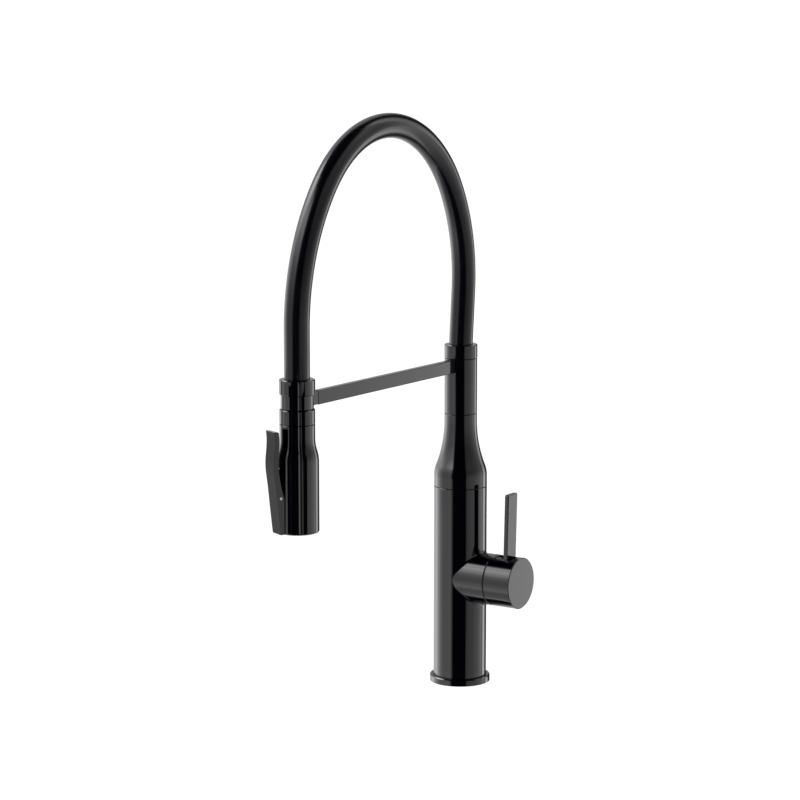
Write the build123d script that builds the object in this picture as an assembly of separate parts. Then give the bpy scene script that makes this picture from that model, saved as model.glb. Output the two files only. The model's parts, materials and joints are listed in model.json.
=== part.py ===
from build123d import *
import os
from math import asin, cos, radians, sin

# Deck-mounted pre rinse faucet with a self-supporting hose arch, a side lever and a
# spray head docked on a horizontal arm.  Millimetres.  The origin is the centre of the
# base on the deck plane, +Z is up, the arm runs along -Y and the handle along +X.

# ---- column ----
BODY_R = 25.0            # body cylinder
BODY_BORE_R = 22.6
FLANGE_R = 28.5
FLANGE_H = 6.0
SHOULDER_Z = 188.0       # seam between the body and the bottle-shaped neck
TAPER_Z = (198.0, 208.0, 250.0)
SLEEVE_Z = (257.2, 309.0)
NECK_R = 15.3
SLEEVE_BORE_R = 13.95
CORE_R = 12.5
CORE_BORE_R = 9.2
SEAM = 0.4               # visible gap at a turning seam

# ---- hose ----
REACH = 265.0            # column axis to spray head axis
COLLAR_R = 15.5
COLLAR_TOP = 322.2
HOSE_R = 11.1
SHEATH_BORE_R = 8.35
INNER_HOSE_R = 8.2
INNER_HOSE_BORE_R = 6.4
HOSE_START_Z = 311.4
HOSE_LEAN = -4.58        # the hose leaves the neck leaning slightly backwards
HOSE_ARCS = ((164.2, 31.42), (124.1, 140.52))   # radius, heading reached

# ---- docking arm ----
ARM_T = 6.0
ARM_H = 12.3
ARM_Z = 302.8
ARM_ROOT_Y = -21.5
ARM_START_Y = -23.6
ARM_END_Y = -237.0
ARM_TIP_Y = -250.5

# ---- spray head ----
HEAD_TURN = -25.0        # the head is turned this far about its own axis
DOCK_R = 14.2
HEAD_TOP_R = 15.3
HEAD_R = 18.5
HEAD_Z = (190.0, 251.0, 271.0, 283.6)
TRIGGER_W = 14.8
PIVOT_D = 20.4           # trigger pin, distance from the head axis
PIVOT_Z = 222.0
PLUNGER_Z = 247.0

# ---- side handle ----
HANDLE_Z = 101.5
BOSS_R = 24.1
BOSS_FLARE = 3.0         # fillet where the boss meets the body
SEAM_CHAMFER = 0.6        # broken edges on both sides of the boss and cap joint
BOSS_END = 39.0
CAP_X = (39.35, 67.0)
CAP_BORE_R = 21.5
SLOT_X = (41.0, 61.0)
BLADE_X = (52.5, 56.4)
BLADE_W = 16.8
BLADE_TOP = 185.5
BLADE_LEAN = 1.3
BALL_X = 30.0


def ring(r_out, r_in, z0, z1, x=0.0, y=0.0):
    face = Circle(r_out)
    if r_in > 0:
        face = face - Circle(r_in)
    return Pos(x, y, z0) * extrude(face, z1 - z0)


def xring(r_out, r_in, x0, x1, y=0.0, z=HANDLE_Z):
    return Pos(x0, y, z) * Rot(0, 90, 0) * ring(r_out, r_in, 0.0, x1 - x0)


def block(x0, x1, y0, y1, z0, z1):
    size = (x1 - x0, y1 - y0, z1 - z0)
    return Pos((x0 + x1) / 2, (y0 + y1) / 2, (z0 + z1) / 2) * Box(*size)


def rim(part, z, amount):
    """Chamfer the outermost circular edge at height z."""
    edges = part.edges().filter_by(GeomType.CIRCLE).filter_by_position(Axis.Z, z - 0.01, z + 0.01)
    return chamfer(edges.sort_by(SortBy.RADIUS)[-1], amount)


def turned(points, arcs=()):
    """Revolve a closed (r, z) outline; arcs maps a point index to the mid point of its edge."""
    arcs = dict(arcs)
    edges = []
    for i, start in enumerate(points):
        end = points[(i + 1) % len(points)]
        if i in arcs:
            edges.append(ThreePointArc(start, arcs[i], end))
        else:
            edges.append(Line(start, end))
    face = make_face(Plane.XZ * Curve(edges))
    return revolve(face, Axis.Z)


def ogee(r0, z0, r1, z1, split):
    """Two tangent arcs from (r0, z0) to (r1, z1), both ends vertical, meeting at split."""
    dr, dz = r1 - r0, z1 - z0
    slope = abs(dr) / dz
    turn = 2 * slope / (1 + slope ** 2)
    ra = split * dz / turn
    rb = (1 - split) * dz / turn
    bend = 0.5 * asin(turn)
    sag = (1 - cos(bend)) * (1 if dr > 0 else -1)
    side = sin(bend)
    mid = (r0 + split * dr, z0 + split * dz)
    first = (r0 + ra * sag, z0 + ra * side)
    last = (r1 - rb * sag, z1 - rb * side)
    return first, mid, last


def hose_path():
    """Planar centreline in the YZ plane: tangent straights and arcs, neck to head."""
    edges = []
    y, z, t = 0.0, HOSE_START_Z, 0.0

    def straight(length):
        nonlocal y, z
        end = (y - length * sin(t), z + length * cos(t))
        edges.append(Line((0, y, z), (0, *end)))
        y, z = end

    def arc(radius, heading):
        nonlocal y, z, t
        to = radians(heading)
        turn = 1.0 if to > t else -1.0
        mid_t = (t + to) / 2

        def at(a):
            return (y + turn * radius * (cos(a) - cos(t)), z + turn * radius * (sin(a) - sin(t)))

        mid, end = at(mid_t), at(to)
        edges.append(ThreePointArc((0, y, z), (0, *mid), (0, *end)))
        y, z = end
        t = to

    straight(320.5 - HOSE_START_Z)
    arc(80.0, HOSE_LEAN)
    straight(45.5)
    for radius, heading in HOSE_ARCS:
        arc(radius, heading)
    last = (REACH + y) / (1 + cos(t))
    arc(last, 180.0)
    straight(z - HOSE_START_Z)
    return Wire(edges)


def swept(r_out, r_in, path):
    section = Pos(0, 0, HOSE_START_Z) * (Circle(r_out) - Circle(r_in))
    return sweep(section, path=path)


def at_head(part):
    """Place a piece drawn with its trigger side on local -Y on the turned spray head."""
    return Pos(0, -REACH, 0) * Rot(0, 0, HEAD_TURN) * part


def boss():
    """Side boss for the valve, flared where it is brazed to the body."""
    body = ring(BODY_R, 0, 60.0, 140.0)
    barrel = xring(BOSS_R, 0, 0.0, BOSS_END)
    barrel = chamfer(barrel.edges().filter_by(GeomType.CIRCLE).sort_by(Axis.X)[-1], SEAM_CHAMFER)
    joined = body + barrel
    root = [e for e in joined.edges() if e.geom_type != GeomType.CIRCLE and e.bounding_box().min.X > 0]
    flared = fillet([e for e in root if e.bounding_box().size.Z > BOSS_R], BOSS_FLARE)
    return flared - ring(BODY_R + 0.01, 0, 50.0, 150.0) - xring(20.3, 0, 0.0, BOSS_END + 1)


def column():
    p = {}
    flange = rim(ring(FLANGE_R, BODY_BORE_R, 0.0, FLANGE_H), FLANGE_H, 0.8)
    p["base_flange"] = flange - ring(27.4, 23.6, 0.0, 1.4)
    p["base_gasket"] = ring(27.3, 23.7, 0.0, 1.35)

    shell = rim(ring(BODY_R, BODY_BORE_R, FLANGE_H + 0.05, SHOULDER_Z - 0.15), SHOULDER_Z - 0.15, 0.3)
    p["body_shell"] = shell - xring(20.3, 0, 0.0, BOSS_END + 1)
    p["valve_boss"] = boss()

    plug = ring(22.5, 0, 0.0, 20.0)
    for side in (-1, 1):
        plug -= ring(4.5, 0, -1.0, 14.0, -5.0, 10.5 * side)
        plug -= ring(4.05, 0, 13.0, 21.0, -5.0, 10.5 * side)
        plug -= ring(3.35, 0, -1.0, 12.0, 11.0, 11.0 * side)
    p["base_plug"] = plug
    p["inlet_tubes"] = [ring(4.0, 3.1, 14.1, 77.9, -5.0, 10.5 * side) for side in (-1, 1)]
    p["shoulder_coupler"] = ring(22.5, 19.5, 178.0, 197.5)

    z0, z1, z2 = TAPER_Z
    r0, r1 = BODY_R, NECK_R
    first, mid, last = ogee(r0, z0, r1, z2, (z1 - z0) / (z2 - z0))
    top = SLEEVE_Z[0] - SEAM
    outline = [
        (BODY_BORE_R, SHOULDER_Z + 0.15), (r0 - 0.3, SHOULDER_Z + 0.15), (r0, SHOULDER_Z + 0.45),
        (r0, z0), mid, (r1, z2), (r1, top - 0.25), (r1 - 0.25, top),
        (CORE_R + 0.1, top), (CORE_R + 0.1, 236.0), (BODY_BORE_R, 198.5),
    ]
    p["bottle_neck"] = turned(outline, {3: first, 4: last})

    p["swivel_core"] = ring(CORE_R, CORE_BORE_R, 236.5, 307.0)
    p["riser_tube"] = ring(5.0, 4.2, 118.0, 302.0)
    p["retaining_ring"] = ring(13.85, CORE_R + 0.05, 305.3, 306.7)
    return p


def valve():
    p = {}
    body = ring(20.0, 0, 74.0, 129.0) + xring(20.1, 0, 0.0, 36.0)
    body -= xring(17.7, 0, 5.0, 37.0)
    for side in (-1, 1):
        body -= ring(4.05, 0, 73.0, 78.0, -5.0, 10.5 * side)
        body -= ring(3.1, 0, 77.0, 99.0, -5.0, 10.5 * side)
        body -= xring(2.3, 0, -5.0, 6.0, 7.0 * side, 96.0)
    body -= ring(5.05, 0, 117.0, 130.0)
    body -= ring(4.2, 0, 110.0, 118.0)
    body -= xring(1.9, 0, 0.0, 6.0, 0.0, 111.5)
    p["valve_body"] = body

    ports = [(7.0, 96.0), (-7.0, 96.0), (0.0, 111.5)]
    shell = xring(17.6, 0, 6.2, 33.0) - xring(12.5, 0, 9.0, 27.0)
    disc = xring(12.4, 0, 9.05, 12.5)
    for y, z in ports:
        shell -= xring(1.9, 0, 6.0, 10.0, y, z)
        disc -= xring(1.9, 0, 9.0, 13.0, y, z)
    shell -= Pos(BALL_X, 0, HANDLE_Z) * Sphere(5.06)
    p["cartridge_body"] = shell
    p["fixed_disc"] = disc
    p["cartridge_seals"] = [xring(3.3, 2.1, 5.05, 6.15, y, z) for y, z in ports]
    p["moving_disc"] = xring(8.2, 0, 12.55, 17.0) - xring(2.7, 0, 14.2, 17.1)
    p["cartridge_nut"] = xring(17.6, 9.5, 33.1, 38.0)
    guide = xring(CAP_BORE_R - 0.08, 14.0, BOSS_END + 0.1, 43.0)
    p["cap_guide"] = guide + xring(20.2, 14.0, 38.1, BOSS_END + 0.2)

    stem = Pos(BALL_X, 0, HANDLE_Z) * Sphere(5.0) + xring(2.6, 0, BALL_X, 50.0)
    stem += xring(1.8, 0, 15.4, BALL_X)
    p["stem"] = stem
    return p


def handle():
    p = {}
    cap = xring(BOSS_R, 0, *CAP_X)
    edges = cap.edges().filter_by(GeomType.CIRCLE).sort_by(Axis.X)
    cap = chamfer([edges[0], edges[-1]], SEAM_CHAMFER)
    cap -= xring(CAP_BORE_R, 0, CAP_X[0] - 1, CAP_X[1] - 3.5)
    half = BLADE_W / 2 + 0.2
    cap -= block(*SLOT_X, -half, half, HANDLE_Z, HANDLE_Z + BOSS_R + 1)
    flare = Pos((SLOT_X[0] + SLOT_X[1]) / 2, 0, HANDLE_Z + BOSS_R)
    width = SLOT_X[1] - SLOT_X[0]
    cut = extrude(Rectangle(width + 1.6, 2 * half + 1.6), -1.6, taper=26)
    cap -= flare * cut
    p["handle_cap"] = cap

    blade = block(*BLADE_X, -BLADE_W / 2, BLADE_W / 2, HANDLE_Z - 6.5, BLADE_TOP)
    corners = blade.edges().filter_by(Axis.X).sort_by(Axis.Z)[-2:]
    blade = fillet(corners, 1.6)
    blade = chamfer(blade.faces().sort_by(Axis.X)[-1].edges(), 0.8)
    centre = (BLADE_X[0] + BLADE_X[1]) / 2
    lean = Pos(centre, 0, 125.0) * Rot(0, BLADE_LEAN, 0) * Pos(-centre, 0, -125.0)
    blade = lean * blade
    blade += block(45.6, centre, -6.0, 6.0, HANDLE_Z - 6.0, HANDLE_Z + 6.0)
    blade -= xring(2.65, 0, 45.0, 50.2)
    blade -= ring(1.6, 0, HANDLE_Z - 7.0, HANDLE_Z - 2.6, 48.6, 0)
    p["blade"] = blade
    p["grub_screw"] = ring(1.5, 0.6, HANDLE_Z - 5.9, HANDLE_Z - 2.7, 48.6, 0)
    return p


def arm():
    p = {}
    z0, z1 = ARM_Z - ARM_H / 2, ARM_Z + ARM_H / 2
    half = ARM_T / 2
    sleeve = ring(NECK_R, 0, *SLEEVE_Z)
    sleeve = rim(rim(sleeve, SLEEVE_Z[0], 0.25), SLEEVE_Z[1], 0.25)
    sleeve += block(-half, half, ARM_ROOT_Y, 0, z0, z1)
    sleeve -= ring(SLEEVE_BORE_R, 0, SLEEVE_Z[0] - 1, SLEEVE_Z[1] + 1)
    stud = Rot(90, 0, 0) * Cylinder(2.0, 14.0, align=(Align.CENTER, Align.CENTER, Align.MIN))
    hole = Rot(90, 0, 0) * Cylinder(2.06, 14.4, align=(Align.CENTER, Align.CENTER, Align.MIN))
    hole = Pos(0, -16.8, ARM_Z) * hole
    p["neck_sleeve"] = sleeve - hole
    p["arm_stud"] = Pos(0, -17.0, ARM_Z) * stud
    p["swivel_bushes"] = [ring(13.9, CORE_R + 0.06, z, z + 5.0) for z in (SLEEVE_Z[0] + 1, 299.0)]
    shim = block(-half + 0.5, half - 0.5, ARM_START_Y + 0.02, ARM_ROOT_Y - 0.02, z0 + 0.5, z1 - 0.5)
    p["arm_shim"] = shim - hole
    bar = block(-half, half, ARM_END_Y, ARM_START_Y, z0, z1)
    p["arm"] = chamfer(bar.edges().filter_by(Axis.Y), 0.5) - hole
    tip = block(-half + 0.3, half - 0.3, ARM_TIP_Y, ARM_END_Y - 0.02, z0 + 0.3, z1 - 0.3)
    tip = chamfer(tip.edges().filter_by(Axis.Y), 0.4)
    p["arm_tip"] = tip - block(-2.0, 2.0, ARM_TIP_Y - 1, -247.0, ARM_Z - 4.0, ARM_Z + 4.0)
    p["dock_magnet"] = block(-1.95, 1.95, ARM_TIP_Y + 0.05, -247.05, ARM_Z - 3.95, ARM_Z + 3.95)
    return p


def hose_collar():
    """Collar closed over a nipple flange at its lower end, open for the hose above."""
    z0 = SLEEVE_Z[1] + SEAM
    collar = ring(COLLAR_R, 0, z0, COLLAR_TOP)
    collar = rim(rim(collar, z0, 0.25), COLLAR_TOP, 0.6)
    collar -= ring(HOSE_R + 0.15, 0, z0, COLLAR_TOP + 1)
    collar -= ring(13.3, 0, z0 - 1, HOSE_START_Z - 0.2)
    return collar


def nipple(shank_r, bore_r, z_low):
    """Hose barb, flange and shank; the same form is used at both ends of the hose."""
    part = ring(shank_r, 0, z_low, HOSE_START_Z) + ring(13.2, 0, SLEEVE_Z[1] + 0.55, 311.1)
    part += ring(INNER_HOSE_BORE_R - 0.05, 0, HOSE_START_Z - 0.5, 317.5)
    for z in (313.0, 315.0):
        part -= ring(INNER_HOSE_R, 5.9, z, z + 0.8)
    return part - ring(bore_r, 0, z_low - 1, 318.0)


def hose():
    p = {}
    path = hose_path()
    p["hose_sheath"] = swept(HOSE_R, SHEATH_BORE_R, path)
    p["inner_hose"] = swept(INNER_HOSE_R, INNER_HOSE_BORE_R, path)
    head = Pos(0, -REACH, 0)
    p["top_collar"] = hose_collar()
    p["end_collar"] = head * hose_collar()
    neck = ring(9.12, 0, 286.0, HOSE_START_Z - 1) + nipple(9.12, 4.6, 300.0)
    p["neck_nipple"] = neck - ring(5.1, 0, 285.0, 303.0) - ring(4.6, 0, 302.0, 318.0)
    p["head_nipple"] = head * nipple(7.0, 4.8, 260.5)
    dock = ring(DOCK_R, 7.05, 296.9, 309.2)
    p["dock_ring"] = head * rim(rim(dock, 296.9, 0.4), 309.2, 0.3)
    p["nipple_clip"] = head * ring(9.4, 7.02, 262.0, 263.6)
    p["swivel_seals"] = [ring(9.18, 8.1, z, z + 1.6) for z in (290.0, 294.0)]
    p["neck_nipple"] -= ring(9.5, 8.05, 289.9, 291.7)
    p["neck_nipple"] -= ring(9.5, 8.05, 293.9, 295.7)
    return p


def spray_head():
    p = {}
    top = ring(HEAD_TOP_R, 7.3, 283.9, 296.5)
    top = rim(rim(top, 283.9, 0.3), 296.5, 0.5)
    for i in range(4):
        top -= ring(HEAD_TOP_R + 1, HEAD_TOP_R - 0.2, 286.6 + 2.3 * i, 287.1 + 2.3 * i)
    p["head_ring"] = top

    z0, z1, z2, z3 = HEAD_Z
    r0, r1 = HEAD_R, HEAD_TOP_R
    first, mid, last = ogee(r0, z1, r1, z2, 0.5)
    outline = [
        (16.7, z0), (r0 - 1.6, z0), (r0, z0 + 1.6), (r0, z1), mid, (r1, z2), (r1, z3 - 0.3),
        (r1 - 0.3, z3), (13.5, z3), (13.5, 270.0), (16.7, 253.0),
    ]
    rim_mid = (r0 - 0.47, z0 + 0.47)
    shell = turned(outline, {1: rim_mid, 3: first, 4: last})
    lug = block(-4.0, 4.0, -PIVOT_D, -17.0, PIVOT_Z - 2.4, PIVOT_Z + 2.4)
    lug += Pos(-4.0, -PIVOT_D, PIVOT_Z) * Rot(0, 90, 0) * ring(2.4, 0, 0, 8.0)
    shell += lug
    shell -= ring(16.7, 0, z0, 250.0)
    pin_hole = Pos(-9.0, -PIVOT_D, PIVOT_Z) * Rot(0, 90, 0) * ring(1.27, 0, 0, 18.0)
    shell -= pin_hole
    shell -= Pos(0, -10.0, PLUNGER_Z) * Rot(90, 0, 0) * ring(2.2, 0, 0, 12.0)
    p["head_shell"] = shell

    core = ring(13.3, 0, 204.0, 283.5) + ring(16.5, 0, 199.0, 204.0)
    core -= ring(10.0, 0, 256.0, 266.0)
    core -= ring(7.07, 0, 265.0, 284.0)
    core -= ring(4.5, 0, 198.0, 240.0) + ring(3.0, 0, 239.0, 257.0, 0, 5.0)
    core -= ring(3.0, 0, 236.0, 257.0, 0, 5.0)
    core -= Pos(0, -3.0, PLUNGER_Z) * Rot(90, 0, 0) * ring(2.0, 0, 0, 12.0)
    core -= Pos(0, -11.4, PLUNGER_Z) * Rot(90, 0, 0) * ring(3.25, 0, 0, 3.0)
    p["head_core"] = core
    p["core_seals"] = [ring(16.68, 15.4, 200.6, 202.4), ring(13.48, 12.2, 276.0, 277.8)]
    p["head_core"] -= ring(17.0, 15.35, 200.5, 202.5) + ring(14.0, 12.15, 275.9, 277.9)

    polar = [(r, i * 360.0 / n) for r, n in ((8.4, 8), (12.6, 14)) for i in range(n)]
    face = ring(16.6, 0, 191.4, 194.6) - ring(5.1, 0, 190.0, 196.0)
    former = ring(16.5, 0, 194.7, 198.9) - ring(5.1, 0, 194.0, 197.5) - ring(2.0, 0, 194.0, 200.0)
    nubs = []
    for r, angle in polar:
        x, y = r * cos(radians(angle)), r * sin(radians(angle))
        face -= ring(1.25, 0, 190.0, 196.0, x, y)
        former -= ring(0.8, 0, 194.0, 200.0, x, y)
        nubs.append(ring(1.2, 0.45, 190.4, 194.6, x, y))
    p["nozzle_face"] = face
    p["spray_former"] = former
    p["spray_nozzles"] = nubs
    aerator = ring(5.0, 0, 191.0, 196.8)
    for i in range(-2, 3):
        for j in range(-2, 3):
            aerator -= block(i * 1.7 - 0.6, i * 1.7 + 0.6, j * 1.7 - 0.6, j * 1.7 + 0.6, 190.0, 193.0)
    p["aerator"] = aerator - ring(3.9, 0, 192.6, 198.0)

    outer = [(27.0, 279.6), (26.5, 266.0), (27.7, 251.0), (26.0, 235.0), (24.1, 218.0), (22.1, 200.0),
             (20.9, 190.5)]
    inner = [(22.3, 279.2), (21.8, 266.0), (22.9, 251.0), (21.4, 238.0), (18.8, 226.5)]
    edges = [
        Spline(*[(-d, z) for d, z in outer]),
        Line((-20.9, 190.5), (-17.0, 190.5)),
        Line((-17.0, 190.5), (-17.0, 221.0)),
        Line((-17.0, 221.0), (-18.8, 226.5)),
        Spline(*[(-d, z) for d, z in reversed(inner)]),
        Line((-22.3, 279.2), (-27.0, 279.6)),
    ]
    lever = extrude(make_face(Plane.YZ * Curve(edges)), TRIGGER_W / 2, both=True)
    long_edges = lever.faces().sort_by(Axis.Y)[0].edges().sort_by(SortBy.LENGTH)[-2:]
    lever = chamfer(long_edges, 0.7)
    lever = chamfer(lever.faces().sort_by(Axis.Z)[-1].edges(), 0.4)
    lever -= ring(HEAD_R + 0.35, 0, 180.0, 230.0)
    lever -= block(-4.3, 4.3, -23.1, -15.0, PIVOT_Z - 4.5, PIVOT_Z + 6.0)
    p["trigger"] = lever - pin_hole
    p["trigger_pin"] = Pos(-7.3, -PIVOT_D, PIVOT_Z) * Rot(0, 90, 0) * ring(1.2, 0, 0, 14.6)
    p["plunger"] = Pos(0, -6.2, PLUNGER_Z) * Rot(90, 0, 0) * ring(1.9, 0, 0, 16.2)
    p["plunger_seal"] = Pos(0, -11.5, PLUNGER_Z) * Rot(90, 0, 0) * ring(3.2, 1.95, 0, 1.4)
    for node, shape in p.items():
        p[node] = [at_head(s) for s in shape] if isinstance(shape, list) else at_head(shape)
    return p


def main():
    os.makedirs("parts", exist_ok=True)
    nodes = {**column(), **valve(), **handle(), **arm(), **hose(), **spray_head()}
    for node, shape in nodes.items():
        group = shape if isinstance(shape, list) else [shape]
        solids = [solid for piece in group for solid in piece.solids()]
        export_step(solids[0] if len(solids) == 1 else Compound(solids), f"parts/{node}.step")
        print(f"{node:18s} {len(solids):3d} solids {sum(s.volume for s in solids):12.1f} mm3")


main()
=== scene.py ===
"""Looks of the pre rinse faucet: gloss black metal and a satin rubber hose in a white studio."""
import json
import math

import bpy
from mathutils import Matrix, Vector


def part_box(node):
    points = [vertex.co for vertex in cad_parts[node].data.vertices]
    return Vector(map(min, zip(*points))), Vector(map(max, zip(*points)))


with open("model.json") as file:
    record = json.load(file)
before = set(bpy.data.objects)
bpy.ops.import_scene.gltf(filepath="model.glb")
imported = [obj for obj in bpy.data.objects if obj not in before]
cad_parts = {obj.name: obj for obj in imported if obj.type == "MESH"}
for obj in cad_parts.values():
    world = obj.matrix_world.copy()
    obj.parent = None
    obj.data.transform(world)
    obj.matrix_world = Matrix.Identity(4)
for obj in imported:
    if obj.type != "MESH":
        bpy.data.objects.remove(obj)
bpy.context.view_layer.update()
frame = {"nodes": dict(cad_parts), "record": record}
scene = bpy.context.scene

# Camera, in metres and degrees. Azimuth is measured from -Y towards +X around the column.
AZIMUTH = math.radians(31.6)
DISTANCE = 2.376
EYE_HEIGHT = 0.644
PITCH_DOWN = math.radians(8.97)
TURN_LEFT = math.radians(1.372)
LENS_MM = 115.5
SENSOR_MM = 36.0

TO_CAMERA = Vector((math.sin(AZIMUTH), -math.cos(AZIMUTH), 0.0))
TO_RIGHT = Vector((math.cos(AZIMUTH), math.sin(AZIMUTH), 0.0))
UP = Vector((0.0, 0.0, 1.0))
STUDIO_RADIUS = 20.0
FLOOR_GAP = 0.0005

# Brightness of the studio by angle around the object: 0 towards the camera, negative to its left.
# A dark sector faces the object and a thin dark gap stands far round on the right.
WALLS = [(-180, 1.0), (-147, 1.5), (-123, 3.4), (-106, 2.4), (-92, 1.55), (-78, 1.15), (-57, 1.2),
         (-45, 1.35), (-37, 0.7), (-31, 0.01), (22, 0.01), (28, 0.5), (40, 0.66), (57, 0.72),
         (70, 0.9), (90, 1.15), (104, 1.5), (113, 1.0), (118, 1.7), (124, 3.0), (135, 1.7),
         (142, 0.04), (156, 0.04), (180, 1.0)]
# How that changes with height, over the big soft box on the left and everywhere else.
SOFT_BOX = [(-90, 0.35), (-67, 0.45), (-42, 0.75), (-30, 1.3), (-17, 1.0), (-5, 0.75), (7, 0.8),
            (18, 1.2), (30, 2.4), (41, 3.6), (51, 2.8), (57, 0.01), (90, 0.01)]
ELSEWHERE = [(-90, 0.5), (-40, 0.8), (-12, 1.0), (15, 0.5), (47, 0.8), (60, 0.01), (90, 0.01)]
BOX_REACH = [(-180, 0.0), (-135, 0.0), (-105, 1.0), (-40, 1.0), (-28, 0.0), (180, 0.0)]

# Upright cards that only the spray head mirrors: name, level offsets of the two ends from the head's
# axis in metres, and brightness.
CARDS = [("trigger_flag", (-0.181, -0.069), (-0.135, -0.004), 0.5),
         ("head_flag", (0.031, -0.0176), (0.42, -0.030), 0.01),
         ("head_strip", (0.0707, -0.0624), (0.0953, -0.1116), 1.2),
         ("head_shade", (-0.0255, -0.0875), (0.0023, -0.0911), 0.01)]
CARD_LOW = -0.10
CARD_HIGH = 0.07


def add(tree, kind, **properties):
    made = tree.nodes.new(kind)
    for key, value in properties.items():
        setattr(made, key, value)
    return made


def plug(tree, socket, value):
    """Put a constant on a socket, or link another socket into it."""
    if isinstance(value, bpy.types.NodeSocket):
        tree.links.new(value, socket)
    else:
        socket.default_value = value


def by_identifier(sockets, identifier):
    return next(socket for socket in sockets if socket.identifier == identifier)


def compute(tree, operation, *values):
    made = add(tree, "ShaderNodeMath", operation=operation)
    for socket, value in zip(made.inputs, values):
        plug(tree, socket, value)
    return made.outputs["Value"]


# ---- camera and studio -------------------------------------------------------------------------

def build_camera():
    heading = math.cos(TURN_LEFT) * -TO_CAMERA - math.sin(TURN_LEFT) * TO_RIGHT
    look = math.cos(PITCH_DOWN) * heading - math.sin(PITCH_DOWN) * UP
    data = bpy.data.cameras.new("camera")
    data.sensor_width = SENSOR_MM
    data.lens = LENS_MM
    data.clip_end = 3 * STUDIO_RADIUS
    camera = bpy.data.objects.new("camera", data)
    camera.location = DISTANCE * TO_CAMERA + EYE_HEIGHT * UP
    camera.rotation_euler = look.to_track_quat("-Z", "Y").to_euler()
    scene.collection.objects.link(camera)
    scene.camera = camera


def along(tree, coord, axis):
    """How far the looked-at direction points along an axis."""
    made = add(tree, "ShaderNodeVectorMath", operation="DOT_PRODUCT")
    plug(tree, made.inputs[0], coord.outputs["Generated"])
    plug(tree, made.inputs[1], axis)
    return made.outputs["Value"]


def profile(tree, stops, limit, angle):
    """A smooth curve of brightness over an angle that runs from -limit to +limit degrees."""
    unit = add(tree, "ShaderNodeMapRange")
    plug(tree, unit.inputs["Value"], angle)
    plug(tree, unit.inputs["From Min"], -math.radians(limit))
    plug(tree, unit.inputs["From Max"], math.radians(limit))
    curve = add(tree, "ShaderNodeValToRGB")
    plug(tree, curve.inputs["Fac"], unit.outputs["Result"])
    curve.color_ramp.interpolation = "EASE"
    elements = curve.color_ramp.elements
    while len(elements) < len(stops):
        elements.new(0.5)
    peak = max(value for _, value in stops)
    for element, (degrees, value) in zip(elements, stops):
        element.position = (degrees + limit) / (2 * limit)
        element.color = (value / peak, value / peak, value / peak, 1.0)
    return compute(tree, "MULTIPLY", curve.outputs["Color"], peak)


def build_world():
    world = bpy.data.worlds.new("studio")
    world.use_nodes = True
    scene.world = world
    tree = world.node_tree
    tree.nodes.clear()
    coord = add(tree, "ShaderNodeTexCoord")
    turn = compute(tree, "ARCTAN2", along(tree, coord, TO_RIGHT), along(tree, coord, TO_CAMERA))
    lift = compute(tree, "ARCSINE", along(tree, coord, UP))
    plain = profile(tree, ELSEWHERE, 90, lift)
    boxed = compute(tree, "SUBTRACT", profile(tree, SOFT_BOX, 90, lift), plain)
    share = compute(tree, "MULTIPLY", profile(tree, BOX_REACH, 180, turn), boxed)
    level = compute(tree, "ADD", plain, share)
    background = add(tree, "ShaderNodeBackground")
    plug(tree, background.inputs["Color"], (0.985, 0.99, 1.0, 1.0))
    plug(tree, background.inputs["Strength"],
         compute(tree, "MULTIPLY", profile(tree, WALLS, 180, turn), level))
    output = add(tree, "ShaderNodeOutputWorld")
    plug(tree, output.inputs["Surface"], background.outputs["Background"])


def studio_white():
    """Near-white paper that keeps a trace of the contact shadow."""
    material = bpy.data.materials.new("studio_white")
    material.use_nodes = True
    tree = material.node_tree
    tree.nodes.clear()
    paper = add(tree, "ShaderNodeBsdfDiffuse")
    plug(tree, paper.inputs["Color"], (0.15, 0.15, 0.152, 1.0))
    glow = add(tree, "ShaderNodeEmission")
    plug(tree, glow.inputs["Strength"], 0.95)
    both = add(tree, "ShaderNodeAddShader")
    plug(tree, both.inputs[0], paper.outputs["BSDF"])
    plug(tree, both.inputs[1], glow.outputs["Emission"])
    output = add(tree, "ShaderNodeOutputMaterial")
    plug(tree, output.inputs["Surface"], both.outputs["Shader"])
    return material


def build_backdrop():
    """The floor and the wall far behind it, which the gloss metal does not mirror."""
    white = studio_white()
    bpy.ops.mesh.primitive_plane_add(size=2.2 * STUDIO_RADIUS, location=(0, 0, -FLOOR_GAP))
    floor = bpy.context.object
    floor.name = "floor"
    bpy.ops.mesh.primitive_cylinder_add(vertices=96, radius=STUDIO_RADIUS, depth=2 * STUDIO_RADIUS,
                                        location=(0, 0, 0.9 * STUDIO_RADIUS))
    wall = bpy.context.object
    wall.name = "wall"
    wall.visible_diffuse = False
    wall.visible_shadow = False
    for piece in (floor, wall):
        piece.data.materials.append(white)
        piece.visible_glossy = False


def card_material(name, strength):
    """A card that shows only its front; from behind it is clear."""
    material = bpy.data.materials.new(name)
    material.use_nodes = True
    tree = material.node_tree
    tree.nodes.clear()
    glow = add(tree, "ShaderNodeEmission")
    plug(tree, glow.inputs["Strength"], strength)
    clear = add(tree, "ShaderNodeBsdfTransparent")
    sided = add(tree, "ShaderNodeMixShader")
    plug(tree, sided.inputs["Fac"], add(tree, "ShaderNodeNewGeometry").outputs["Backfacing"])
    plug(tree, sided.inputs[1], glow.outputs["Emission"])
    plug(tree, sided.inputs[2], clear.outputs["BSDF"])
    output = add(tree, "ShaderNodeOutputMaterial")
    plug(tree, output.inputs["Surface"], sided.outputs["Shader"])
    return material


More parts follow.
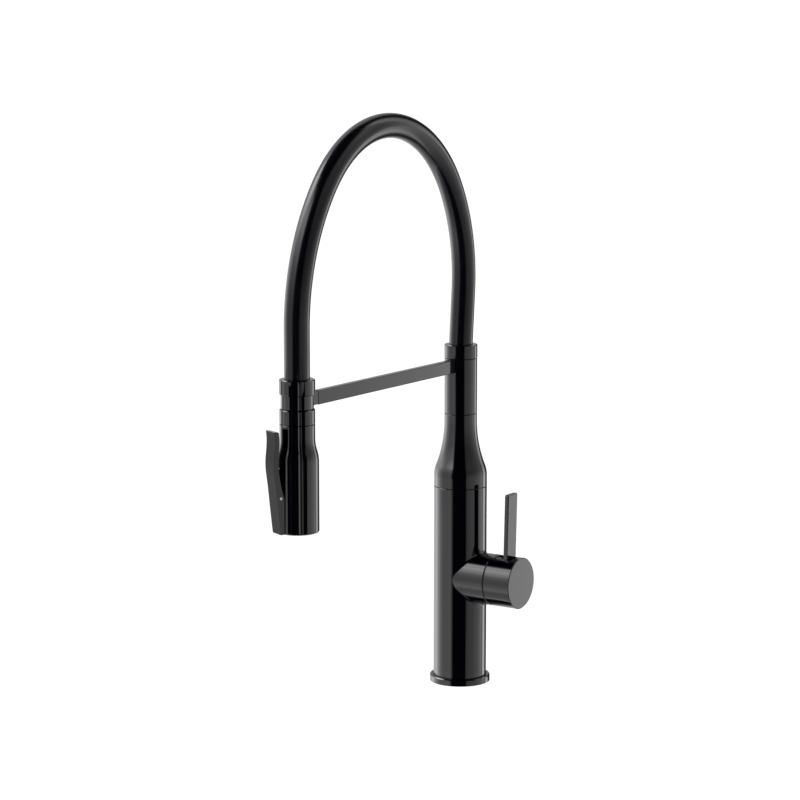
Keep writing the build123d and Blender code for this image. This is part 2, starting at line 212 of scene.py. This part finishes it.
def card(name, start, end, strength):
    """An upright card beside the spray head, seen only in reflections and only from the head's side."""
    head_low, head_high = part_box("head_shell")
    middle = (head_low + head_high) / 2
    a, b = (middle + Vector((*offset, 0.0)) for offset in (start, end))
    corners = [a + CARD_LOW * UP, b + CARD_LOW * UP, b + CARD_HIGH * UP, a + CARD_HIGH * UP]
    mesh = bpy.data.meshes.new(name)
    mesh.from_pydata(corners, [], [(0, 1, 2, 3)])
    mesh.materials.append(card_material(name, strength))
    if mesh.polygons[0].normal.dot(middle - a) < 0:
        mesh.flip_normals()
    piece = bpy.data.objects.new(name, mesh)
    scene.collection.objects.link(piece)
    piece.visible_camera = False
    piece.visible_diffuse = False
    piece.visible_shadow = False


# ---- materials ---------------------------------------------------------------------------------

class Finish:
    """A principled material with helpers for procedural detail in the object's own metres."""

    def __init__(self, name, metallic=0.0, ior=1.5):
        self.material = bpy.data.materials.new(name)
        self.material.use_nodes = True
        self.tree = self.material.node_tree
        self.shader = self.tree.nodes["Principled BSDF"]
        self.coord = add(self.tree, "ShaderNodeTexCoord")
        self.put("Metallic", metallic)
        self.put("IOR", ior)

    def put(self, socket, value):
        plug(self.tree, self.shader.inputs[socket], value)

    def noise(self, scale, low, high, detail=3.0, centre=0.5, spread=0.5):
        """Noise between low and high; a small spread around the centre makes sharper patches."""
        made = add(self.tree, "ShaderNodeTexNoise")
        plug(self.tree, made.inputs["Vector"], self.coord.outputs["Object"])
        plug(self.tree, made.inputs["Scale"], scale)
        plug(self.tree, made.inputs["Detail"], detail)
        spanned = add(self.tree, "ShaderNodeMapRange")
        plug(self.tree, spanned.inputs["Value"], made.outputs["Fac"])
        plug(self.tree, spanned.inputs["From Min"], centre - spread)
        plug(self.tree, spanned.inputs["From Max"], centre + spread)
        plug(self.tree, spanned.inputs["To Min"], low)
        plug(self.tree, spanned.inputs["To Max"], high)
        return spanned.outputs["Result"]

    def tone(self, dark, light, scale):
        mixed = add(self.tree, "ShaderNodeMix", data_type="RGBA")
        plug(self.tree, mixed.inputs["Factor"], self.noise(scale, 0.0, 1.0, spread=0.25))
        plug(self.tree, by_identifier(mixed.inputs, "A_Color"), (*dark, 1.0))
        plug(self.tree, by_identifier(mixed.inputs, "B_Color"), (*light, 1.0))
        self.put("Base Color", by_identifier(mixed.outputs, "Result_Color"))

    def roughness(self, low, high, scale):
        self.put("Roughness", self.noise(scale, low, high, spread=0.3))

    def smudged(self, low, high, extra, scale):
        """Even polish with soft patches that hands and water have left."""
        even = self.noise(scale, low, high)
        patches = self.noise(scale / 3, 0.0, extra, centre=0.66, spread=0.08)
        self.put("Roughness", compute(self.tree, "ADD", even, patches))

    def grain(self, strength, scale, depth=0.0002):
        bump = add(self.tree, "ShaderNodeBump")
        plug(self.tree, bump.inputs["Strength"], strength)
        plug(self.tree, bump.inputs["Distance"], depth)
        plug(self.tree, bump.inputs["Height"], self.noise(scale, 0.0, 1.0))
        self.put("Normal", bump.outputs["Normal"])


def black_metal(name):
    finish = Finish(name, ior=1.6)
    finish.tone((0.0003, 0.0003, 0.0016), (0.0006, 0.0006, 0.0024), 30)
    finish.smudged(0.03, 0.06, 0.03, 45)
    finish.grain(0.008, 700)
    return finish.material


def hose_rubber(name):
    finish = Finish(name, ior=1.42)
    finish.tone((0.0010, 0.0010, 0.0024), (0.0022, 0.0022, 0.0042), 50)
    finish.smudged(0.15, 0.21, 0.04, 90)
    finish.grain(0.03, 1600)
    return finish.material


def inner_hose_plastic(name):
    finish = Finish(name, ior=1.48)
    finish.tone((0.58, 0.60, 0.62), (0.66, 0.68, 0.70), 80)
    finish.roughness(0.32, 0.46, 120)
    finish.grain(0.05, 1800)
    return finish.material


def seal_rubber(name):
    finish = Finish(name, ior=1.5)
    finish.tone((0.012, 0.012, 0.013), (0.022, 0.022, 0.023), 150)
    finish.roughness(0.5, 0.68, 180)
    finish.grain(0.12, 2600)
    return finish.material


def machined(name, dark, light, low, high):
    """A bare turned metal with fine tool marks."""
    finish = Finish(name, metallic=1.0)
    finish.tone(dark, light, 90)
    finish.roughness(low, high, 240)
    finish.grain(0.06, 3000, depth=0.0001)
    return finish.material


def brass(name):
    return machined(name, (0.50, 0.34, 0.12), (0.60, 0.43, 0.17), 0.2, 0.34)


def copper_tube(name):
    return machined(name, (0.54, 0.26, 0.13), (0.66, 0.34, 0.19), 0.18, 0.3)


def steel(name):
    return machined(name, (0.46, 0.46, 0.48), (0.56, 0.56, 0.58), 0.18, 0.3)


def cartridge_plastic(name):
    finish = Finish(name, ior=1.5)
    finish.tone((0.66, 0.66, 0.62), (0.73, 0.73, 0.69), 110)
    finish.roughness(0.34, 0.5, 150)
    finish.grain(0.06, 2200)
    return finish.material


def ceramic_disc(name):
    finish = Finish(name, ior=1.75)
    finish.tone((0.77, 0.76, 0.72), (0.83, 0.82, 0.78), 140)
    finish.roughness(0.07, 0.13, 200)
    finish.grain(0.01, 3000)
    return finish.material


def dark_plastic(name):
    finish = Finish(name, ior=1.48)
    finish.tone((0.005, 0.005, 0.006), (0.010, 0.010, 0.011), 100)
    finish.smudged(0.24, 0.36, 0.08, 120)
    finish.grain(0.06, 2400)
    return finish.material


def nozzle_rubber(name):
    finish = Finish(name, ior=1.45)
    finish.tone((0.025, 0.025, 0.028), (0.040, 0.040, 0.044), 160)
    finish.roughness(0.45, 0.62, 220)
    finish.grain(0.1, 2600)
    return finish.material


FINISHES = [black_metal, hose_rubber, inner_hose_plastic, seal_rubber, brass, copper_tube, steel,
            cartridge_plastic, ceramic_disc, dark_plastic, nozzle_rubber]


def dress_nodes():
    """Give every CAD node the finish of its material slot in the record."""
    by_slot = {make.__name__: make(make.__name__) for make in FINISHES}
    for subpart in frame["record"]["subparts"]:
        mesh = frame["nodes"][subpart["node"]].data
        mesh.materials.clear()
        mesh.materials.append(by_slot[subpart["material_slot"]])


build_camera()
build_world()
build_backdrop()
for name, start, end, strength in CARDS:
    card(name, start, end, strength)
dress_nodes()
scene.view_settings.view_transform = "Standard"
